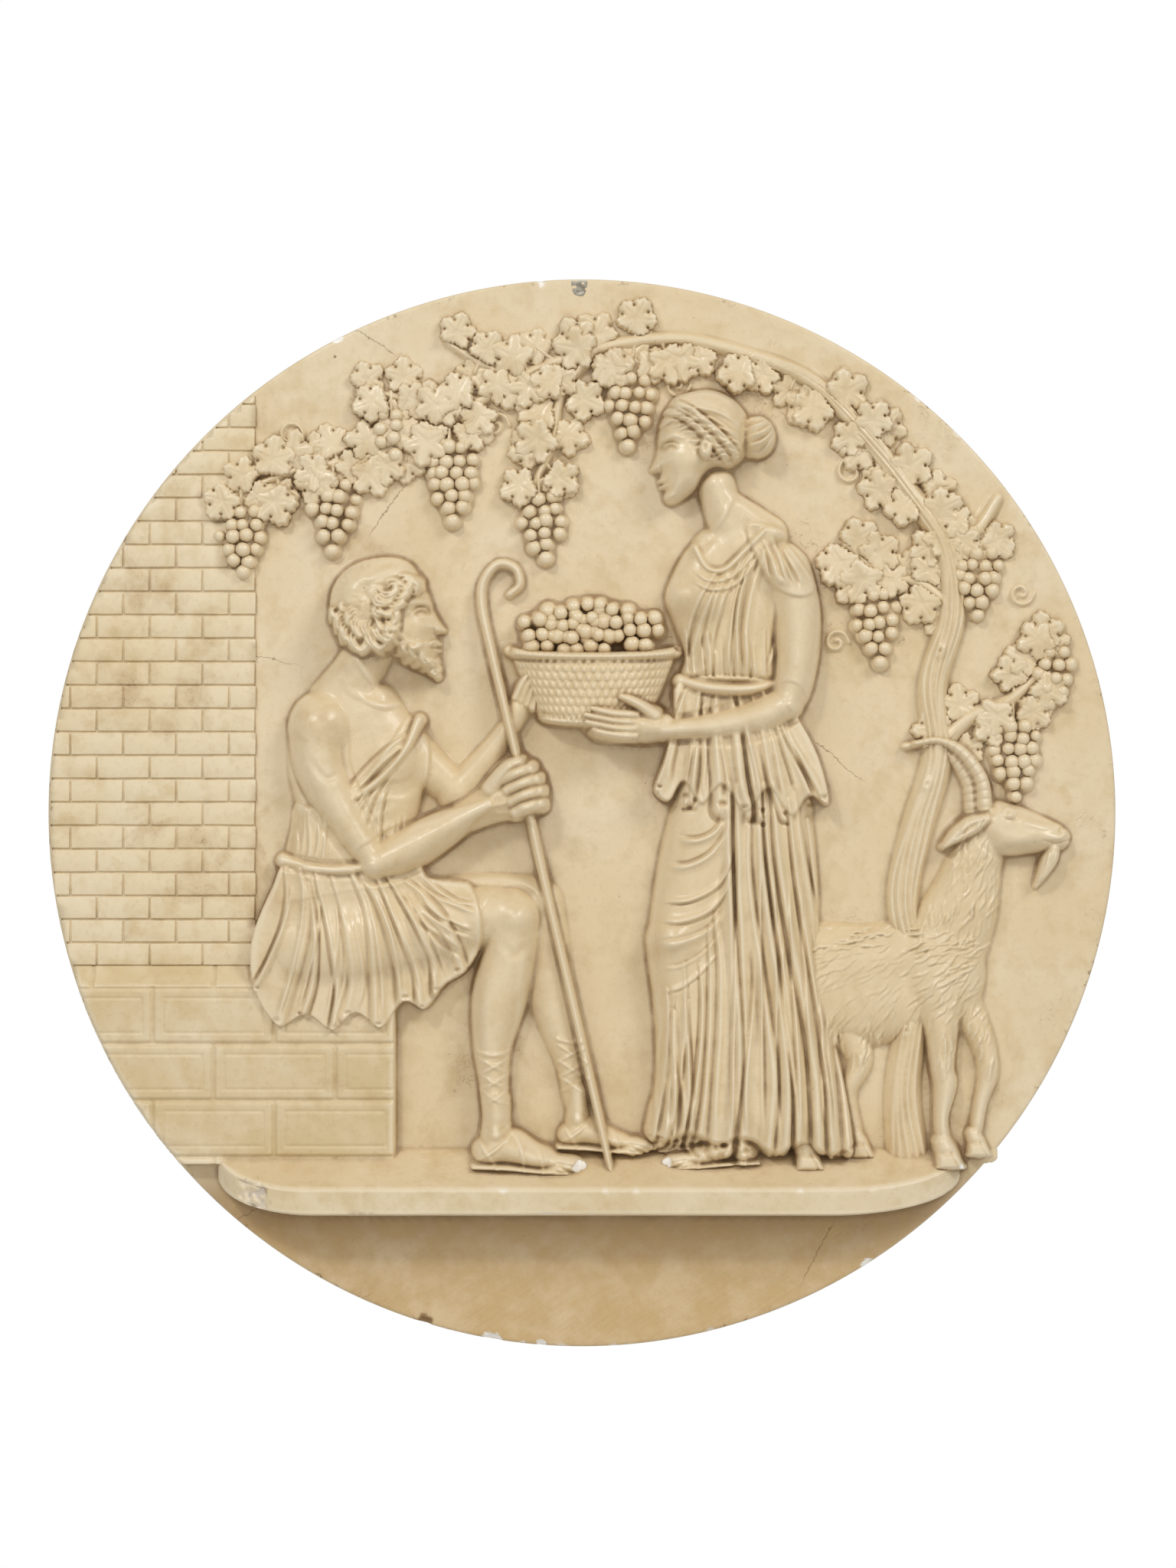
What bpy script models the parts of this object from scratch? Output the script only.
"""Round plaster relief plaque with a pastoral scene, cast in one piece.

Units are metres and +Z is up. The carved front faces -Y. The origin is the centre of the flat
back face, where the plaque meets the wall it hangs on.
"""
import math

import bpy
import bmesh
import numpy as np
from mathutils import Vector
from mathutils.geometry import delaunay_2d_cdt

# Driving sizes
DIAMETER = 0.740
SLAB_THICKNESS = 0.032
EDGE_ROUND = 0.0025
FIGURE_RELIEF = 0.031
WALL_RELIEF = 0.0026
BENCH_RELIEF = 0.013
BENCH_TOP_RELIEF = 0.003
LEDGE_REACH = 0.042
LEDGE_FACE = 0.017
LEDGE_DROP = 0.024
SLOT_WIDTH = 0.070
SLOT_HEIGHT = 0.024
SLOT_DEPTH = 0.014
SLOT_UNDERCUT = 0.008

# Places of the built parts of the scene, as shares of the diameter
WALL_EDGE = -226 / 740
WALL_FOOT = -106 / 740
BENCH_END = -128 / 740
BENCH_SLOPE = 14 / 740
LEDGE_TOP = -232 / 740
LEDGE_LEFT = -252 / 740
LEDGE_RIGHT = 262 / 740
LEDGE_LEFT_CORNER = 70 / 740
LEDGE_RIGHT_CORNER = 95 / 740
SLOT_PLACE = 245 / 740

# Fineness of the faceted solid
RIM_SIDES = 120
SAMPLE_SHARE = 1 / 493
TOP_POINTS = 4450
FIRST_POINTS_EVERY = 24

# The figures and the vine are laid out in 740ths of the diameter, from the centre of the disc, and
# their heights in 31sts of the figures' relief, so they keep their pose at any size of the plaque.
UNIT = DIAMETER / 740
RISE = FIGURE_RELIEF / 31
RADIUS = 370.0
BARE = -12.0
UNDER = -4.0

PLASTER = (0.78, 0.68, 0.49, 1.0)


def through(rows, per=5, closed=False):
    """Rows of numbers made smooth by a curve through them."""
    p = np.asarray(rows, float)
    if closed:
        p = np.vstack([p[-1:], p, p[:2]])
    elif len(p) < 3:
        t = np.linspace(0, 1, per + 1)[:, None]
        return (1 - t) * p[0] + t * p[-1]
    else:
        p = np.vstack([2 * p[0] - p[1], p, 2 * p[-1] - p[-2]])
    out = []
    for a, b, c, d in zip(p[:-3], p[1:-2], p[2:-1], p[3:]):
        t = np.arange(per)[:, None] / per
        bend = 2 * a - 5 * b + 4 * c - d + t * (3 * b - a - 3 * c + d)
        out.append(b + 0.5 * t * (c - a + t * bend))
    return np.vstack(out if closed else out + [p[-2:-1]])


def ease(t):
    """A smooth step from 0 to 1."""
    t = np.clip(t, 0, 1)
    return t * t * (3 - 2 * t)


def join(a, b, blend):
    """The higher of two surfaces, run together over a blend."""
    if blend <= 0:
        return np.maximum(a, b)
    g = np.maximum(blend - np.abs(a - b), 0) / blend
    return np.maximum(a, b) + g * g * blend / 4


def blurred(a, reach):
    """Three box blurs of a half-width given in cells."""
    r = int(round(reach))
    if r < 1:
        return a
    for axis in (0, 1, 0, 1, 0, 1):
        pad = [(0, 0), (0, 0)]
        pad[axis] = (r + 1, r)
        total = np.cumsum(np.pad(a, pad, mode="edge"), axis=axis)
        n = a.shape[axis]
        high = np.take(total, np.arange(2 * r + 1, 2 * r + 1 + n), axis=axis)
        a = (high - np.take(total, np.arange(n), axis=axis)) / (2 * r + 1)
    return a


class Clay:
    """A height field that rounded strokes and sheets are laid on, in the units of the tables."""

    def __init__(self, step):
        half = round(RADIUS / step) * step
        self.step = step
        self.x = np.arange(-half, half + step / 2, step)
        self.z = self.x.copy()
        self.h = np.full((len(self.z), len(self.x)), BARE)

    def window(self, x_lo, x_hi, z_lo, z_hi):
        """The part of the field inside a box."""
        i = slice(*np.searchsorted(self.x, (x_lo, x_hi)))
        j = slice(*np.searchsorted(self.z, (z_lo, z_hi)))
        return (j, i), self.x[None, i], self.z[j, None]

    def strip(self, rows, reach):
        """Distance, half width and level beside a path whose rows are x, z, half width and level."""
        p = through(rows)
        w = p[:, 2].max() * reach + self.step
        win, x, z = self.window(
            p[:, 0].min() - w, p[:, 0].max() + w, p[:, 1].min() - w, p[:, 1].max() + w
        )
        best = np.full((z.shape[0], x.shape[1]), 1e12)
        share = np.zeros_like(best)
        for k, (a, b) in enumerate(zip(p[:-1], p[1:])):
            dx, dz = b[0] - a[0], b[1] - a[1]
            ox, oz = x - a[0], z - a[1]
            t = np.clip((ox * dx + oz * dz) / max(dx * dx + dz * dz, 1e-9), 0, 1)
            d = (ox - t * dx) ** 2 + (oz - t * dz) ** 2
            near = d < best
            best = np.where(near, d, best)
            share = np.where(near, k + t, share)
        k = np.minimum(share.astype(int), len(p) - 2)
        f = share - k
        width = p[k, 2] * (1 - f) + p[k + 1, 2] * f
        level = p[k, 3] * (1 - f) + p[k + 1, 3] * f
        return win, np.sqrt(best), np.maximum(width, 1e-3), level

    def limb(self, rows, base=UNDER, blend=0.0):
        """A rounded stroke."""
        win, d, w, level = self.strip(rows, 1.25)
        dome = np.sqrt(np.clip(1 - (d / w) ** 2, 0, 1))
        h = base + (level - base) * dome - 5 * np.maximum(d - w, 0)
        self.h[win] = join(self.h[win], h, blend)

    def swell(self, rows):
        """Adds a soft ridge, or a groove where the level is negative."""
        win, d, w, level = self.strip(rows, 1.0)
        self.h[win] += level * (1 - np.clip(d / w, 0, 1) ** 2) ** 2 * (self.h[win] > BARE + 1)

    def spot(self, x, z, rx, rz, turn):
        """Coordinates inside a turned ellipse, 1 at its edge."""
        m = max(rx, rz) * 1.3
        win, gx, gz = self.window(x - m, x + m, z - m, z + m)
        c, s = math.cos(math.radians(turn)), math.sin(math.radians(turn))
        return win, ((gx - x) * c + (gz - z) * s) / rx, (-(gx - x) * s + (gz - z) * c) / rz

    def dome(self, x, z, rx, rz, height, turn=0.0, base=UNDER, blend=0.0):
        """An ellipsoid that rises from base to height."""
        win, u, v = self.spot(x, z, rx, rz, turn)
        r = np.sqrt(u * u + v * v)
        out = 5 * np.maximum(r - 1, 0) * min(rx, rz)
        h = base + (height - base) * np.sqrt(np.clip(1 - r * r, 0, 1)) - out
        self.h[win] = join(self.h[win], h, blend)

    def bump(self, x, z, rx, rz, rise, turn=0.0):
        """Adds a soft round swelling."""
        win, u, v = self.spot(x, z, rx, rz, turn)
        self.h[win] += rise * (1 - np.clip(u * u + v * v, 0, 1)) ** 2 * (self.h[win] > BARE + 1)

    def inside(self, outline, reach):
        """Distance inside a smooth closed outline, negative outside it, as far as reach."""
        p = through(outline, 5, True)
        lo, hi = p.min(axis=0) - reach, p.max(axis=0) + reach
        win, x, z = self.window(lo[0], hi[0], lo[1], hi[1])
        best = np.full((z.shape[0], x.shape[1]), 1e12)
        crossings = np.zeros_like(best, int)
        for a, b in zip(p, np.roll(p, -1, axis=0)):
            dx, dz = b[0] - a[0], b[1] - a[1]
            ox, oz = x - a[0], z - a[1]
            t = np.clip((ox * dx + oz * dz) / max(dx * dx + dz * dz, 1e-9), 0, 1)
            best = np.minimum(best, (ox - t * dx) ** 2 + (oz - t * dz) ** 2)
            if dz != 0:
                rows = (a[1] > z) != (b[1] > z)
                crossings += rows & (ox < oz * dx / dz)
        d = np.sqrt(best)
        return win, x, z, np.where(crossings % 2 == 1, d, -d)

    def sheet(self, outline, height, edge=8.0, base=UNDER, blend=0.0):
        """A closed outline, rounded over along its edge. height is a number or a function of x, z."""
        edge = max(edge, 3)
        win, x, z, d = self.inside(outline, edge)
        top = height(x, z) if callable(height) else height
        r = np.clip(1 - d / edge, 0, 1)
        h = base + (top - base) * np.sqrt(np.clip(1 - r * r, 0, 1)) - 5 * np.maximum(-d, 0)
        self.h[win] = join(self.h[win], h, blend)

    def clothe(self, outline, thick=2.5, soften=3.0, floor=None):
        """Cloth over what is there inside a closed outline, softened and raised, with a hem."""
        win, _, _, d = self.inside(outline, 4)
        old = self.h[win]
        there = (old > BARE + 1).astype(float)
        n = soften / self.step
        if floor is None:
            soft = blurred(old * there, n) / np.maximum(blurred(there, n), 0.3)
            on = (d > 0) & (there > 0)
        else:
            old = np.maximum(old, floor)
            soft = blurred(old, n)
            on = d > 0
        mix = ease(d / 3)
        new = np.maximum(old, old * (1 - mix) + soft * mix) + thick * ease(d / 2.5)
        self.h[win] = np.where(on, new, self.h[win])


class Place:
    """Strokes in a frame of their own: shares of a size, turned and, where flip is -1, mirrored."""

    def __init__(self, clay, x, z, size, turn=0.0, flip=1, lift=0.0):
        self.clay, self.x, self.z, self.size = clay, x, z, size
        self.turn, self.flip, self.lift = turn, flip, lift
        self.c, self.s = math.cos(math.radians(turn)), math.sin(math.radians(turn))

    def point(self, x, z):
        """A point of this frame on the plaque."""
        x, z = x * self.size * self.flip, z * self.size
        return self.x + x * self.c - z * self.s, self.z + x * self.s + z * self.c

    def rows(self, rows, lift):
        """Rows of a path on the plaque."""
        return [(*self.point(x, z), w * self.size, h * self.size + lift) for x, z, w, h in rows]

    def limb(self, rows, base=None, blend=0.0):
        """A rounded stroke."""
        under = UNDER if base is None else base * self.size + self.lift
        self.clay.limb(self.rows(rows, self.lift), under, blend)

    def swell(self, rows):
        """Adds a soft ridge."""
        self.clay.swell(self.rows(rows, 0))

    def bump(self, x, z, rx, rz, rise, turn=0.0):
        """Adds a soft swelling."""
        s = self.size
        turn = self.turn + turn * self.flip
        self.clay.bump(*self.point(x, z), rx * s, rz * s, rise * s, turn)

    def dome(self, x, z, rx, rz, height, turn=0.0, blend=0.0):
        """An ellipsoid."""
        s = self.size
        turn = self.turn + turn * self.flip
        self.clay.dome(*self.point(x, z), rx * s, rz * s, height * s + self.lift, turn, blend=blend)

    def sheet(self, outline, height, edge, base=None, blend=0.0):
        """A closed outline, rounded over."""
        s = self.size
        under = UNDER if base is None else base * s + self.lift
        points = [self.point(x, z) for x, z in outline]
        self.clay.sheet(points, height * s + self.lift, edge * s, under, blend)

    def clothe(self, outline, thick, soften):
        """Hair or cloth over what is there."""
        points = [self.point(x, z) for x, z in outline]
        self.clay.clothe(points, thick * self.size, soften * self.size)


# The built ground of the scene


def ledge_height(x, z):
    """How far the ledge stands out: a sloping top, an upright front and rounded ends."""
    reach, drop = LEDGE_REACH / RISE, LEDGE_DROP / UNIT
    left = np.clip((x / 740 - LEDGE_LEFT) / LEDGE_LEFT_CORNER, 0, 1)
    right = np.clip((LEDGE_RIGHT - x / 740) / LEDGE_RIGHT_CORNER, 0, 1)
    round_off = np.sqrt(np.clip(1 - (1 - left) ** 2.2, 0, 1) * np.clip(1 - (1 - right) ** 2.2, 0, 1))
    out = reach * round_off
    lip = 740 * LEDGE_TOP - drop * round_off
    foot = lip - LEDGE_FACE / UNIT
    top = np.clip((740 * LEDGE_TOP - z) / drop * reach, 0, out)
    below = np.clip(out - (foot - z) * 6, 0, out)
    h = np.where(z > lip, top, np.where(z > foot, out, below))
    return np.where(out > 0.3, h, 0)


def lay_ground(clay):
    """The flat ground, the wall of bricks, the block bench and the ledge."""
    x, z = clay.x[None, :], clay.z[:, None]
    h = ease((740 * WALL_EDGE - x) / 1.6) * (z > 740 * WALL_FOOT) * WALL_RELIEF / RISE
    slope = np.clip((740 * WALL_FOOT - z) / (740 * BENCH_SLOPE), 0, 1)
    front = (BENCH_TOP_RELIEF + (BENCH_RELIEF - BENCH_TOP_RELIEF) * slope) / RISE
    bench = (x < 740 * BENCH_END) & (z <= 740 * WALL_FOOT) & (z > 740 * LEDGE_TOP - 6)
    h = np.where(bench, front, h)
    clay.h = np.maximum(clay.h, np.maximum(h, ledge_height(x, z)))


# Figures


HEAD = [
    (0.29, 0.31), (0.345, 0.21), (0.368, 0.11), (0.372, 0.055), (0.405, -0.03), (0.452, -0.125),
    (0.462, -0.16), (0.44, -0.188), (0.392, -0.2), (0.385, -0.232), (0.404, -0.265), (0.376, -0.3),
    (0.39, -0.34), (0.36, -0.366), (0.368, -0.41), (0.362, -0.455), (0.325, -0.495), (0.25, -0.5),
    (0.15, -0.45), (0.05, -0.385), (-0.03, -0.3), (-0.12, -0.24), (-0.26, -0.24), (-0.38, -0.17),
    (-0.46, -0.04), (-0.49, 0.12), (-0.46, 0.28), (-0.35, 0.42), (-0.16, 0.5), (0.04, 0.495),
    (0.2, 0.42),
]
SHORT_HAIR = [
    (0.33, 0.3), (0.375, 0.24), (0.33, 0.2), (0.22, 0.22), (0.12, 0.16), (0.06, 0.06),
    (0.02, -0.06), (-0.06, -0.16), (-0.16, -0.28), (-0.32, -0.3), (-0.46, -0.2), (-0.53, -0.02),
    (-0.54, 0.16), (-0.49, 0.34), (-0.36, 0.48), (-0.16, 0.55), (0.06, 0.545), (0.22, 0.47),
]
LONG_HAIR = [
    (0.32, 0.28), (0.37, 0.2), (0.33, 0.17), (0.22, 0.17), (0.14, 0.11), (0.08, 0.02),
    (0.02, -0.08), (-0.08, -0.14), (-0.2, -0.22), (-0.34, -0.2), (-0.46, -0.1), (-0.52, 0.06),
    (-0.5, 0.24), (-0.38, 0.42), (-0.18, 0.53), (0.04, 0.53), (0.2, 0.47),
]
BEARD = [
    (0.02, 0.02), (0.06, -0.1), (0.14, -0.2), (0.25, -0.24), (0.4, -0.225), (0.3, -0.3),
    (0.385, -0.35), (0.4, -0.42), (0.385, -0.5), (0.33, -0.56), (0.24, -0.57), (0.13, -0.52),
    (0.02, -0.45), (-0.06, -0.34), (-0.08, -0.2), (-0.05, -0.06),
]


def lay_face(head):
    """A calm profile on textbook proportions, and the skull behind it."""
    head.sheet(HEAD, 0.36, 0.19)
    head.bump(0.17, -0.11, 0.2, 0.17, 0.03)
    head.bump(0.275, 0.02, 0.1, 0.075, -0.05)
    head.swell([(0.13, 0.075, 0.03, 0.01), (0.22, 0.105, 0.036, 0.022), (0.365, 0.06, 0.02, 0.01)])
    head.bump(0.392, -0.16, 0.036, 0.034, 0.034)


def lay_foot(clay, x, z, size, flip, lift):
    """A foot from the side, with its ankle at the place."""
    f = Place(clay, x, z, size, 0, flip, lift)
    f.limb([(0, 0.2, 0.125, 0), (0, 0.02, 0.13, 0), (-0.04, -0.24, 0.14, 0)], -0.35, 3)
    f.limb(
        [(-0.08, -0.24, 0.14, 0), (0.1, -0.2, 0.17, 0.03), (0.3, -0.27, 0.13, 0.04),
         (0.5, -0.33, 0.1, 0.02), (0.72, -0.365, 0.06, 0)],
        -0.35, 4,
    )


def lay_man(c):
    """A bearded shepherd who sits on the bench, facing right, with a crook."""
    c.limb([(-168, -88, 25, 10), (-120, -76, 28, 12), (-75, -64, 23, 12), (-32, -60, 18, 12.5)])
    c.limb(
        [(-30, -62, 18, 12.5), (-26, -96, 19, 12), (-20, -132, 16.5, 11), (-9, -172, 10.5, 10.5),
         (-4, -200, 9.4, 11)],
        blend=3,
    )
    lay_foot(c, -3, -206, 70, 1, 15)
    torso = [
        (-136, 90), (-122, 74), (-109, 54), (-105, 34), (-112, 6), (-116, -20), (-110, -45),
        (-100, -64), (-130, -96), (-170, -114), (-208, -112), (-222, -86), (-216, -58),
        (-205, -30), (-199, 0), (-204, 30), (-203, 56), (-188, 80), (-168, 96),
    ]
    c.sheet(torso, 18, 30)
    c.bump(-128, 38, 24, 20, 4, 20)
    c.limb([(-124, 52, 16, 10), (-104, 30, 15, 11), (-85, 13, 13, 12)], blend=2)
    c.limb([(-88, 12, 13, 12), (-74, 26, 13, 12), (-60, 45, 10, 12), (-50, 60, 8, 12)], blend=3)
    far = Place(c, -44, 70, 36, 60)
    far.limb([(-0.3, 0, 0.22, 0.36), (0.05, 0.03, 0.28, 0.38), (0.7, 0.03, 0.26, 0.4)], blend=1.5)
    crook = [
        (20, -246, 3.4, 25), (-2, -150, 3.5, 19), (-23, -60, 3.6, 20), (-43, 30, 3.6, 21),
        (-62, 110, 3.5, 15), (-69, 142, 3.5, 11), (-68, 160, 3.4, 10), (-58, 172, 3.3, 10),
        (-46, 169, 3.2, 10), (-43, 158, 3.0, 10), (-50, 151, 2.8, 9),
    ]
    c.limb(crook, base=0)
    lay_foot(c, -59, -214, 82, 1, 27)
    c.limb(
        [(-192, -92, 31, 20), (-155, -88, 33, 24), (-112, -80, 30, 25), (-76, -73, 25, 25),
         (-49, -70, 21, 25)]
    )
    c.limb(
        [(-47, -72, 21, 25), (-50, -100, 20.5, 25), (-57, -128, 20, 25), (-62, -160, 14.5, 24),
         (-61, -186, 11, 23), (-59, -208, 10.5, 25)],
        blend=4,
    )
    c.bump(-43, -73, 14, 13, 2.6)
    chest = [
        (-118, 68), (-106, 50), (-105, 30), (-112, 5), (-114, -26), (-122, -38), (-160, -42),
        (-204, -38), (-207, -20), (-200, 6), (-178, 4), (-152, 22), (-132, 48),
    ]
    c.clothe(chest, 3.2)
    lap = [
        (-118, -30), (-106, -44), (-88, -47), (-76, -50), (-69, -70), (-70, -92), (-80, -109),
        (-95, -119), (-108, -135), (-123, -130), (-138, -148), (-156, -138), (-172, -150),
        (-190, -139), (-209, -147), (-226, -122), (-228, -88), (-214, -52), (-202, -34), (-160, -38),
    ]
    c.clothe(lap, 3.4, floor=13)
    for k in range(6):
        x = -108 - 21 * k
        c.swell([(-128 - 13 * k, -50, 5, 1), (x - 6, -84, 7, 3.4), (x, -108, 6, 3)])
        c.swell([(x, -112, 5, 2), (x - 2, -126, 6, 3.6), (x - 4, -138, 5, 2)])
    c.limb([(-113, -26, 5, 19), (-140, -35, 5.4, 26), (-172, -39, 5.4, 25), (-206, -33, 5, 15)], 8)
    c.limb([(-168, 76, 23, 17), (-155, 98, 18.5, 19), (-144, 118, 17.5, 19)], blend=6)
    head = Place(c, -131, 134, 79, 7)
    lay_face(head)
    head.sheet(SHORT_HAIR, 0.43, 0.24)
    head.dome(-0.07, -0.03, 0.06, 0.1, 0.4, 12)
    head.clothe(BEARD, 0.04, 0.02)
    head.limb([(0.28, -0.42, 0.09, 0.21), (0.31, -0.49, 0.08, 0.2), (0.33, -0.54, 0.05, 0.16)], blend=2)
    c.limb(
        [(-182, 58, 22, 28), (-180, 32, 20, 30), (-167, 4, 18, 30), (-150, -22, 15.5, 30),
         (-141, -34, 14, 30)],
        blend=3,
    )
    c.dome(-179, 60, 25, 26, 29, -20, blend=5)
    c.limb(
        [(-142, -35, 14, 30), (-124, -27, 17, 31), (-100, -14, 14.5, 31), (-78, -1, 10.5, 30),
         (-64, 6, 9, 30)],
        blend=4,
    )
    hand = Place(c, -41, 15, 46, 22)
    hand.limb([(-0.6, 0, 0.3, 0.54), (-0.3, 0.02, 0.36, 0.58), (0.2, 0.02, 0.4, 0.64)], 0.05)
    hand.limb([(-0.35, 0.22, 0.12, 0.58), (-0.12, 0.38, 0.11, 0.66), (0.2, 0.46, 0.08, 0.6)], 0.25)


def lay_basket(c):
    """A wide basket heaped with grapes."""
    for x, z, rx, rz, top in ((8, 128, 50, 26, 22), (-26, 124, 20, 20, 20), (40, 124, 20, 18, 20)):
        c.dome(x, z, rx, rz, top)
    win, x, z = c.window(-60, 76, 58, 122)
    lift = (z + 4.8 * (1 - ((x - 8) / 58) ** 2) - 66) / 46
    half = 36 + 22 * np.clip(lift, 0, 1) ** 0.8
    s = (x - 8) / half
    h = 4 + 24 * np.sqrt(np.clip(1 - s * s, 0, 1))
    on = (lift >= 0) & (lift <= 1) & (np.abs(s) < 1)
    c.h[win] = np.where(on, np.maximum(c.h[win], h), c.h[win])
    for z, w, r, top in ((110, 58, 4.2, 30), (65, 36, 3.2, 26)):
        rim = []
        for a in np.linspace(0, math.pi, 9):
            bow = math.sin(a)
            rim.append((8 - w * math.cos(a), z - 4.8 * bow + 2, r, 6 + (top - 6) * bow**0.6))
        c.limb(rim, base=2)


def lay_woman(c):
    """A standing woman who faces left and holds out the basket."""
    lay_foot(c, 92, -208, 62, -1, 11)
    lay_foot(c, 108, -216, 70, -1, 21)
    skirt = [
        (76, 70), (66, 30), (59, -20), (50, -62), (44, -90), (48, -130), (50, -180), (42, -222),
        (56, -231), (74, -226), (92, -233), (112, -229), (132, -240), (150, -233), (170, -240),
        (190, -234), (184, -200), (172, -140), (165, -80), (162, -20), (155, 30), (136, 74),
    ]

    def level(x, z):
        return 18 + 10 * ease((-z - 40) / 190) + 3.5 * np.exp(-(((x - 112) / 42) ** 2))

    c.sheet(skirt, level, 26)
    hem = [
        (60, -176), (54, -204), (49, -221), (58, -228), (74, -223), (92, -230), (112, -226),
        (132, -237), (150, -230), (168, -237), (182, -231), (176, -204), (166, -176), (112, -168),
    ]
    c.sheet(hem, lambda x, z: level(x, z) - 3, 7, blend=5)
    c.limb([(100, 20, 33, 20), (82, -30, 29, 23), (66, -88, 22, 26)], blend=8)
    c.limb([(65, -88, 22, 26), (68, -130, 19, 24), (72, -190, 15, 24)], blend=8)
    c.bump(61, -86, 15, 15, 3)
    for k in range(5):
        x = 104 + 14 * k
        c.swell([(108 + 9 * k, 10, 5, 1), (x, -100, 7, 4.4), (x + 6 * k - 8, -228, 8, 5)])
    for k in range(3):
        c.swell([(50 + 10 * k, -112, 4, 1), (52 + 11 * k, -170, 6, 4), (48 + 14 * k, -222, 7, 5)])
    for x, z in ((49, -84), (52, -101), (60, -38)):
        c.swell([(x, z, 4, 1), (x + 26, z - 25, 6, 3), (x + 58, z + 4, 4, 1)])
    chest = [
        (86, 198), (72, 184), (62, 166), (57, 148), (64, 128), (71, 108), (70, 88), (130, 84),
        (136, 118), (146, 150), (150, 172), (138, 192), (114, 202),
    ]
    c.sheet(chest, 20, 24, blend=3)
    c.bump(86, 148, 21, 21, 8)
    c.bump(64, 150, 12, 17, 4.5)
    c.limb([(108, 186, 19, 18), (99, 206, 14.5, 20), (93, 226, 14, 20)], blend=6)
    bodice = [
        (78, 186), (65, 170), (57, 148), (63, 128), (70, 108), (70, 88), (130, 84), (136, 118),
        (146, 150), (152, 172), (142, 190), (126, 196), (112, 184), (99, 170), (88, 170),
    ]
    c.clothe(bodice, 2.8, 2)
    for k in range(4):
        low = (92 + 3 * k, 150 - 11 * k, 5, 2.8)
        c.swell([(126 + 5 * k, 180 - 6 * k, 4, 1), low, (70, 152 - 9 * k, 4, 1)])
    overfold = [
        (70, 92), (63, 66), (57, 38), (50, 16), (60, 8), (70, 22), (82, 6), (96, 20), (112, 1),
        (128, 17), (144, -2), (156, 12), (170, 6), (164, 36), (150, 64), (132, 90),
    ]
    c.clothe(overfold, 4, 2.5, floor=15)
    for k in range(5):
        c.swell([(76 + 12 * k, 80, 5, 1.5), (68 + 19 * k, 44, 7, 4), (58 + 27 * k, 12, 7, 4)])
    c.limb([(68, 91, 4.8, 17), (88, 86, 5.2, 27.5), (112, 85, 5.2, 27.5), (134, 89, 4.8, 16)], 8)
    head = Place(c, 80, 252, 75, 6, -1)
    lay_face(head)
    head.sheet(LONG_HAIR, 0.45, 0.26)
    head.limb([(0.24, 0.42, 0.06, 0.38), (0.0, 0.2, 0.06, 0.48), (-0.3, -0.16, 0.06, 0.4)], 0.2)
    head.dome(-0.56, 0.04, 0.17, 0.2, 0.38, 10)
    c.limb(
        [(139, 166, 20, 26), (147, 140, 18.5, 28), (148, 112, 17, 29), (145, 88, 15, 30),
         (139, 74, 14, 30)],
        blend=3,
    )
    c.dome(138, 166, 20, 23, 27, 20, blend=4)
    c.limb(
        [(140, 75, 14, 30), (122, 66, 15.5, 31), (96, 60, 13, 31), (72, 58, 10, 31), (56, 57, 9, 31)],
        blend=4,
    )
    sleeve = [(113, 198), (136, 196), (156, 180), (163, 158), (152, 148), (134, 153), (121, 172)]
    c.clothe(sleeve, 3, 1.5)
    lay_basket(c)
    hand = Place(c, 44, 60, 44, 176)
    hand.limb([(-0.3, 0, 0.2, 0.68), (0.1, 0.0, 0.26, 0.72), (0.8, 0.0, 0.2, 0.7)], 0.1, 2)
    hand.limb([(-0.1, -0.2, 0.1, 0.7), (0.2, -0.34, 0.09, 0.76), (0.42, -0.4, 0.07, 0.74)], 0.2)


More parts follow.
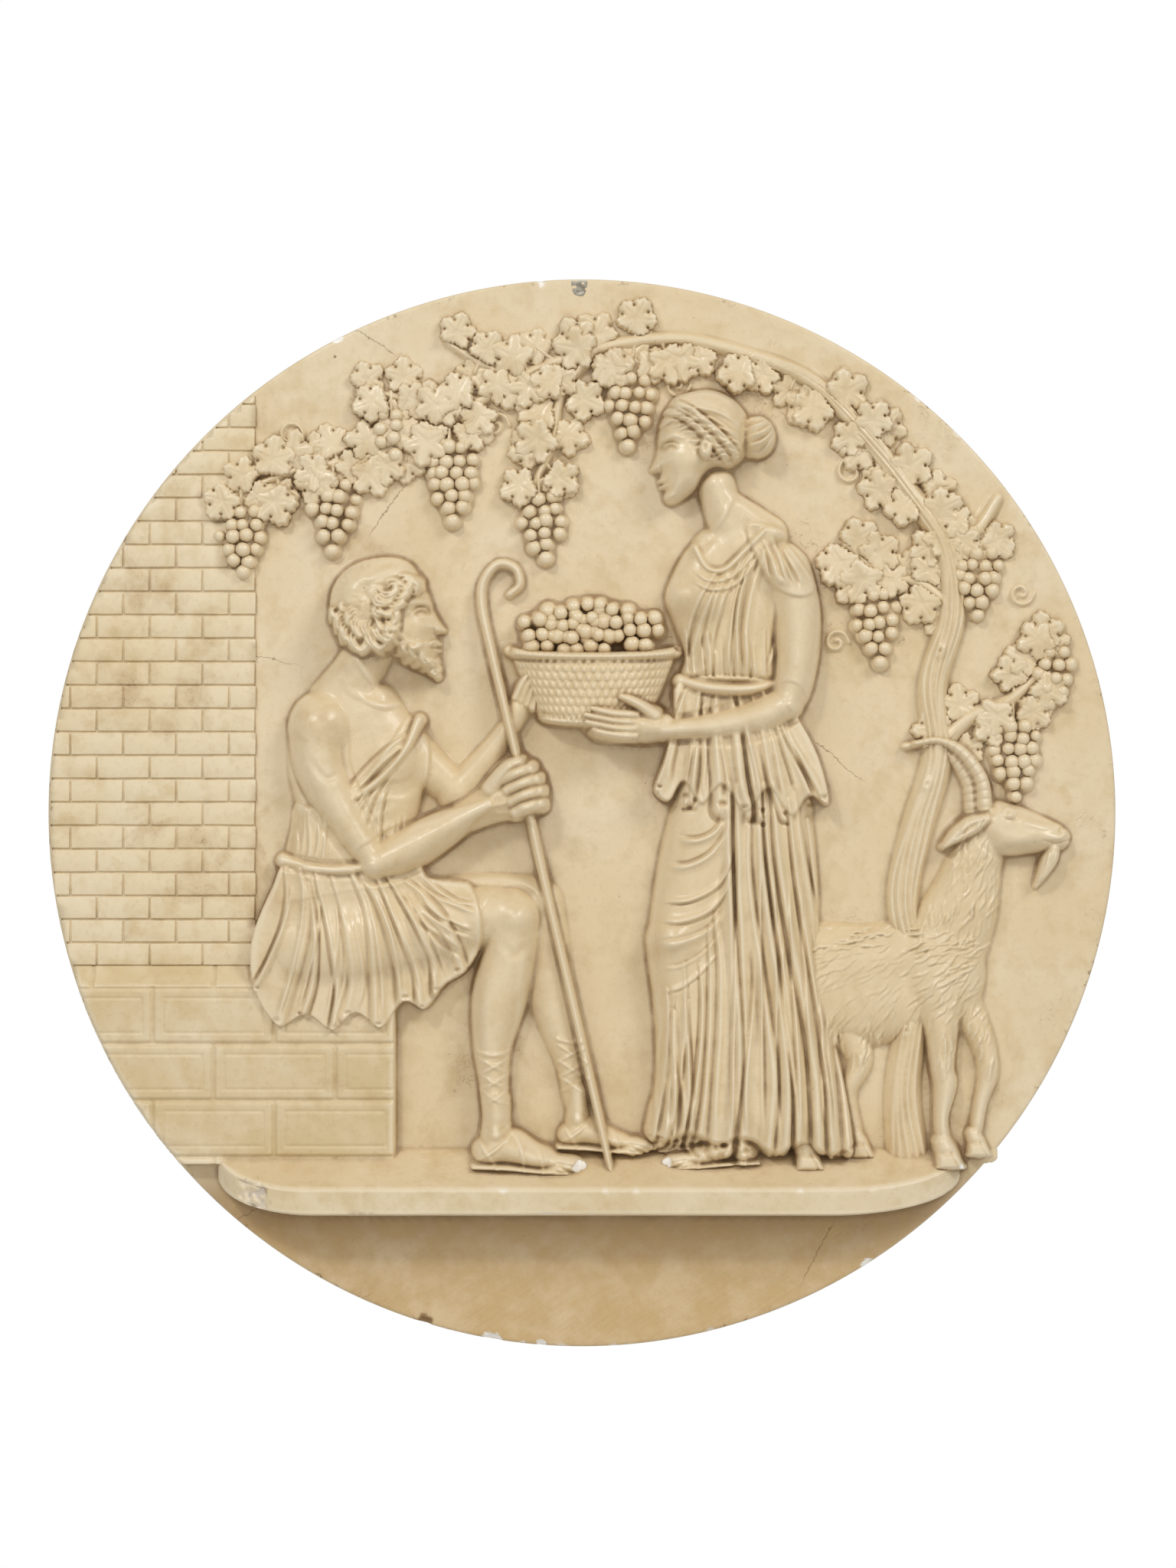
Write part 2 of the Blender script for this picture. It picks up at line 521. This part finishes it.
def lay_goat(c):
    """A goat that stands behind the woman, facing right."""
    far_legs = (
        [(262, -126, 14, 9), (277, -158, 9.5, 9), (281, -180, 8, 9.5),
         (276, -200, 5.6, 9), (272, -222, 5.4, 10)],
        [(178, -138, 18, 9), (192, -170, 10, 9), (184, -194, 7, 9), (190, -224, 5.8, 10)],
    )
    near_legs = (
        [(246, -118, 23, 18), (248, -150, 13.5, 18), (251, -188, 9, 18.5),
         (248, -210, 6, 19), (249, -228, 7, 21)],
        [(150, -122, 28, 18), (160, -156, 18, 18), (146, -196, 8.6, 17),
         (151, -214, 6.2, 19), (154, -230, 7, 21)],
    )
    body = [
        (118, -88), (150, -74), (196, -76), (230, -70), (256, -68), (276, -90), (279, -116),
        (266, -142), (238, -154), (200, -162), (165, -158), (140, -152), (122, -124),
    ]
    for rows in far_legs:
        c.limb(rows)
    c.sheet(body, 15, 34)
    c.dome(250, -110, 30, 36, 17.5, 10, blend=7)
    c.dome(150, -114, 34, 36, 17, 0, blend=7)
    c.limb([(246, -100, 34, 15), (262, -66, 27, 16), (272, -34, 20, 16), (281, -12, 18, 17)], blend=6)
    head = Place(c, 296, -8, 60, 6)
    skull = [
        (-0.42, 0.2), (-0.2, 0.3), (0.05, 0.25), (0.3, 0.12), (0.5, 0), (0.64, -0.1), (0.69, -0.2),
        (0.65, -0.31), (0.54, -0.38), (0.42, -0.38), (0.2, -0.37), (-0.05, -0.37), (-0.25, -0.32),
        (-0.42, -0.1),
    ]
    head.sheet(skull, 0.33, 0.26)
    for x, z, h in ((-7, -2, 10), (0, 0, 17)):
        horn = ((278, 4, 6.6), (275, 24, 5.8), (262, 42, 4.8), (246, 50, 3.7), (230, 48, 2.4))
        c.limb([(px + x, pz + z, w, h) for px, pz, w in horn], base=0)
    head.limb([(-0.28, 0.1, 0.07, 0.36), (-0.44, 0.04, 0.11, 0.38), (-0.8, -0.17, 0.04, 0.32)], 0.15)
    head.limb([(0.46, -0.32, 0.09, 0.26), (0.4, -0.46, 0.1, 0.25), (0.22, -0.74, 0.03, 0.14)], 0)
    for rows in near_legs:
        c.limb(rows, blend=5)
    for x, z, lift in ((271, -230, 14), (190, -231, 14), (252, -238, 24), (156, -239, 24)):
        c.dome(x, z, 9, 8, lift)


# The vine

TRUNK = [
    (226, -242, 16, 10), (222, -190, 13, 10), (231, -120, 12, 10), (222, -60, 12, 10),
    (232, -10, 12, 10), (246, 40, 11.5, 10), (243, 90, 11, 9.5), (256, 138, 10.5, 9),
    (250, 186, 9.2, 8.5), (222, 228, 8.4, 8), (196, 262, 7.4, 7.2), (160, 298, 6.6, 6.6),
    (118, 316, 6, 6), (66, 328, 5.4, 5.5), (10, 321, 5, 5.4), (-46, 300, 4.6, 5),
    (-98, 268, 4.3, 4.8), (-150, 246, 3.9, 4.6), (-196, 238, 3.5, 4.4), (-236, 222, 3, 5),
]
BOUGHS = [
    [(246, 44, 7.5, 8.5), (268, 66, 6.2, 7.5), (296, 78, 5.2, 6), (320, 102, 4.4, 5.4),
     (332, 130, 3.4, 4.8)],
    [(252, 176, 6.4, 7.4), (274, 196, 5.4, 6.2), (288, 218, 4.2, 5)],
    [(256, 140, 6, 7.4), (236, 158, 4.8, 6.2), (206, 166, 3.8, 5.2), (182, 186, 3.2, 4.6)],
    [(10, 321, 4.2, 5), (-14, 290, 3.6, 4.6), (-20, 256, 3.2, 4.4), (-34, 226, 2.8, 4.2)],
    [(-98, 268, 3.8, 4.6), (-122, 286, 3.4, 4.4), (-154, 292, 3, 4.2)],
    [(-46, 300, 3.8, 4.6), (-70, 311, 3.2, 4), (-94, 326, 2.8, 4)],
]
BUNCHES = [
    (-30, 222, 32, 50), (34, 304, 34, 54), (-92, 256, 36, 58), (-172, 232, 34, 54), (-236, 212, 32, 50),
    (298, 64, 36, 56), (328, 116, 28, 44), (200, 154, 34, 54), (274, 184, 34, 52), (-132, 280, 28, 36),
]


def along(rows, count, start, stop):
    """Points spread evenly along a smooth path."""
    p = through(rows, 12)[:, :2]
    t = np.linspace(start, stop, count) * (len(p) - 1)
    k = np.minimum(t.astype(int), len(p) - 2)
    f = (t - k)[:, None]
    return p[k] * (1 - f) + p[k + 1] * f


def leaf_places():
    """Middles, sizes and heights of the leaves along the boughs."""
    rng = np.random.default_rng(11)
    out = []
    for path in [TRUNK[7:]] + BOUGHS:
        length = sum(math.dist(a[:2], b[:2]) for a, b in zip(path[:-1], path[1:]))
        count = max(3, int(length / 17))
        points = along(path, count, 0.06, 1.0)
        for k, p in enumerate(points):
            q, o = points[min(k + 1, count - 1)], points[max(k - 1, 0)]
            head = math.degrees(math.atan2(q[1] - o[1], q[0] - o[0]))
            for side in ((1, -1) if k % 3 != 2 else ((1,) if k % 2 else (-1,))):
                turn = math.radians(head + side * rng.uniform(50, 115))
                size = rng.uniform(14.5, 18.5)
                off = rng.uniform(8, 17)
                x, z = p[0] + math.cos(turn) * off, p[1] + math.sin(turn) * off
                lift = rng.uniform(3.4, 7.0)
                rng.uniform(-1, 1, 2)
                if math.hypot(x, z) < 346 and math.hypot(x - 80, z - 250) > 56:
                    out.append((x, z, size, lift))
    return out


def lay_vine(c):
    """A trunk behind the goat, whose boughs arch over the scene with leaves and bunches."""
    for path in [TRUNK] + BOUGHS:
        c.limb(path, base=-3)
    for x, z, size, lift in leaf_places():
        c.dome(x, z, size * 0.86, size * 0.86, lift + 1, base=lift - 5)
    for x, z, width, length in BUNCHES:
        c.limb(
            [(x, z - 4, width * 0.42, 10), (x, z - length * 0.45, width * 0.44, 12),
             (x, z - length * 0.95, width * 0.13, 7)],
            base=-3,
        )


# The faceted solid


def scene_heights():
    """The whole relief as one height field."""
    clay = Clay(740 * SAMPLE_SHARE)
    lay_ground(clay)
    layers = []
    for lay in (lay_vine, lay_goat, lay_man, lay_woman):
        layer = Clay(clay.step)
        lay(layer)
        layers.append(layer.h)
    clay.h = np.maximum(clay.h, np.maximum.reduce(layers))
    clay.h = blurred(clay.h, 1 / clay.step)
    return clay


def height_at(clay, points):
    """Heights at points, read between the samples."""
    u = np.clip((points[:, 0] - clay.x[0]) / clay.step, 0, len(clay.x) - 1.001)
    v = np.clip((points[:, 1] - clay.z[0]) / clay.step, 0, len(clay.z) - 1.001)
    i, j = u.astype(int), v.astype(int)
    f, g = u - i, v - j
    h = clay.h
    low = h[j, i] * (1 - f) + h[j, i + 1] * f
    high = h[j + 1, i] * (1 - f) + h[j + 1, i + 1] * f
    return low * (1 - g) + high * g


def steepness(clay):
    """The share of a height error that is left square to the surface, small on steep sides."""
    down, across = np.gradient(clay.h, clay.step)
    return 1 / np.sqrt(1 + down**2 + across**2)


def worst_samples(clay, share, points, heights, triangles):
    """For each triangle, the sample inside it that lies farthest off it, and how far off it is."""
    p = points[triangles]
    h = heights[triangles]
    lo = np.ceil((p.min(axis=1) - (clay.x[0], clay.z[0])) / clay.step).astype(int)
    hi = np.floor((p.max(axis=1) - (clay.x[0], clay.z[0])) / clay.step).astype(int)
    span = np.maximum(hi - lo + 1, 0)
    number = span[:, 0] * span[:, 1]
    owner = np.repeat(np.arange(len(triangles)), number)
    place = np.arange(number.sum()) - np.repeat(np.cumsum(number) - number, number)
    i = lo[owner, 0] + place % span[owner, 0]
    j = lo[owner, 1] + place // span[owner, 0]
    a, b, c = p[owner, 0], p[owner, 1], p[owner, 2]
    q = np.stack([clay.x[i], clay.z[j]], axis=1)

    def area(r, s, t):
        return (s[:, 0] - r[:, 0]) * (t[:, 1] - r[:, 1]) - (s[:, 1] - r[:, 1]) * (t[:, 0] - r[:, 0])

    whole = area(a, b, c)
    u, v = area(q, b, c) / whole, area(a, q, c) / whole
    w = 1 - u - v
    within = (u > -1e-9) & (v > -1e-9) & (w > -1e-9)
    flat = u * h[owner, 0] + v * h[owner, 1] + w * h[owner, 2]
    error = np.where(within, np.abs(flat - clay.h[j, i]) * share[j, i], 0)
    order = np.lexsort((-error, owner))
    first = order[np.unique(owner[order], return_index=True)[1]]
    return i[first], j[first], error[first]


def facet(clay, rim):
    """Points and triangles that follow the heights closely with a limited number of points."""
    grid = np.zeros(clay.h.shape, bool)
    room = np.hypot(clay.x[None, :], clay.z[:, None]) < rim - 3
    every = round(FIRST_POINTS_EVERY / clay.step)
    share = steepness(clay)
    grid[::every, ::every] = True
    grid &= room
    turn = np.arange(RIM_SIDES) * 2 * math.pi / RIM_SIDES
    ring = np.stack([rim * np.cos(turn), rim * np.sin(turn)], axis=1)
    while True:
        j, i = np.nonzero(grid)
        points = np.vstack([ring, np.stack([clay.x[i], clay.z[j]], axis=1)])
        found = delaunay_2d_cdt([Vector(p) for p in points], [], [], 0, 1e-7)
        verts = np.array([tuple(v) for v in found[0]])
        triangles = np.array([tuple(f) for f in found[2]])
        heights = height_at(clay, verts)
        if len(points) >= TOP_POINTS:
            return verts, heights, triangles
        wi, wj, error = worst_samples(clay, share, verts, heights, triangles)
        good = (error > 0) & room[wj, wi] & ~grid[wj, wi]
        if not good.any():
            return verts, heights, triangles
        wi, wj, error = wi[good], wj[good], error[good]
        batch = min(max(80, len(points) // 8), TOP_POINTS - len(points))
        best = np.argsort(-error, kind="stable")[:batch]
        grid[wj[best], wi[best]] = True


def build_plaque():
    """The slab and its relief as one closed body."""
    clay = scene_heights()
    rim = RADIUS - EDGE_ROUND / UNIT
    points, heights, triangles = facet(clay, rim)
    bm = bmesh.new()
    front = []
    for (x, z), h in zip(points, heights):
        front.append(bm.verts.new((x * UNIT, -SLAB_THICKNESS - h * RISE, z * UNIT)))
    for a, b, c in triangles:
        bm.faces.new((front[a], front[b], front[c]))
    outline = [v for v in front if any(len(e.link_faces) == 1 for e in v.link_edges)]
    outline.sort(key=lambda v: math.atan2(v.co.z, v.co.x))
    half = DIAMETER / 2
    rings = [outline]
    for radius, back in ((half, None), (half, -EDGE_ROUND), (half - EDGE_ROUND, 0.0)):
        ring = []
        for v in outline:
            turn = math.atan2(v.co.z, v.co.x)
            y = v.co.y + EDGE_ROUND if back is None else back
            ring.append(bm.verts.new((radius * math.cos(turn), y, radius * math.sin(turn))))
        rings.append(ring)
    for inner, outer in zip(rings[:-1], rings[1:]):
        for k in range(len(inner)):
            n = (k + 1) % len(inner)
            bm.faces.new((inner[k], inner[n], outer[n], outer[k]))
    bm.faces.new(rings[-1])
    bmesh.ops.recalc_face_normals(bm, faces=bm.faces)
    for face in bm.faces:
        face.smooth = len(face.verts) == 3
    return mesh_object("plaque", bm)


def build_slot():
    """The undercut slot in the back that the plaque hangs by."""
    low = SLOT_PLACE * DIAMETER
    over = SLOT_DEPTH
    shape = [
        (over, low),
        (over, low + SLOT_HEIGHT),
        (0.0, low + SLOT_HEIGHT),
        (-SLOT_DEPTH, low + SLOT_HEIGHT + SLOT_UNDERCUT),
        (-SLOT_DEPTH, low),
    ]
    bm = bmesh.new()
    sides = []
    for x in (-SLOT_WIDTH / 2, SLOT_WIDTH / 2):
        sides.append([bm.verts.new((x, y, z)) for y, z in shape])
    bm.faces.new(sides[0])
    bm.faces.new(reversed(sides[1]))
    for k in range(len(shape)):
        n = (k + 1) % len(shape)
        bm.faces.new((sides[0][k], sides[0][n], sides[1][n], sides[1][k]))
    bmesh.ops.recalc_face_normals(bm, faces=bm.faces)
    slot = mesh_object("slot_cutter", bm)
    slot.hide_render = True
    slot.display_type = "WIRE"
    return slot


def mesh_object(name, bm):
    """An object in the scene from a finished bmesh."""
    mesh = bpy.data.meshes.new(name)
    bm.to_mesh(mesh)
    bm.free()
    obj = bpy.data.objects.new(name, mesh)
    bpy.context.scene.collection.objects.link(obj)
    return obj


def plaster():
    """Aged cream plaster, slightly shiny."""
    material = bpy.data.materials.new("cream_plaster")
    material.use_nodes = True
    shader = material.node_tree.nodes["Principled BSDF"]
    shader.inputs["Base Color"].default_value = PLASTER
    shader.inputs["Roughness"].default_value = 0.5
    return material


def main():
    """Builds the plaque."""
    for old in list(bpy.data.objects):
        bpy.data.objects.remove(old, do_unlink=True)
    plaque = build_plaque()
    cut = plaque.modifiers.new("hanging slot", "BOOLEAN")
    cut.operation = "DIFFERENCE"
    cut.solver = "EXACT"
    cut.object = build_slot()
    plaque.data.materials.append(plaster())


main()
